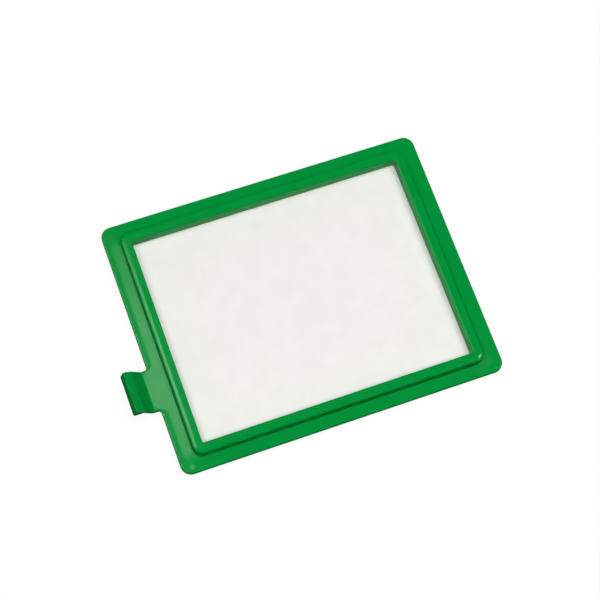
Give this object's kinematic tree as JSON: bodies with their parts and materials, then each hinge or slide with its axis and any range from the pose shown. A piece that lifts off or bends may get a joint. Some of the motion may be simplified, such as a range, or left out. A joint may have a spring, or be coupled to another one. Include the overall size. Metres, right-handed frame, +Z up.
{
  "type": "vacuum exhaust filter",
  "caption": "Flat rectangular filter cassette: a moulded frame with a seal flange, a raised rim and a finger tab, and white fleece held in its window.",
  "frame": {"origin": "middle of the base of the whole part's box, on the plane that the skirt stands on", "axes": "+X along the long side, away from the finger tab; +Y along the short side, away from the half that carries the tab; +Z up, out of the side with the raised rim"},
  "size_m": [0.1622, 0.1184, 0.0131],
  "materials": {
    "frame_plastic": "satin moulded green plastic",
    "filter_fleece": "white non-woven fleece"
  },
  "bodies": {
    "root": {"frame": "frame_plastic", "filter_media": "filter_fleece"}
  },
  "joints": []
}
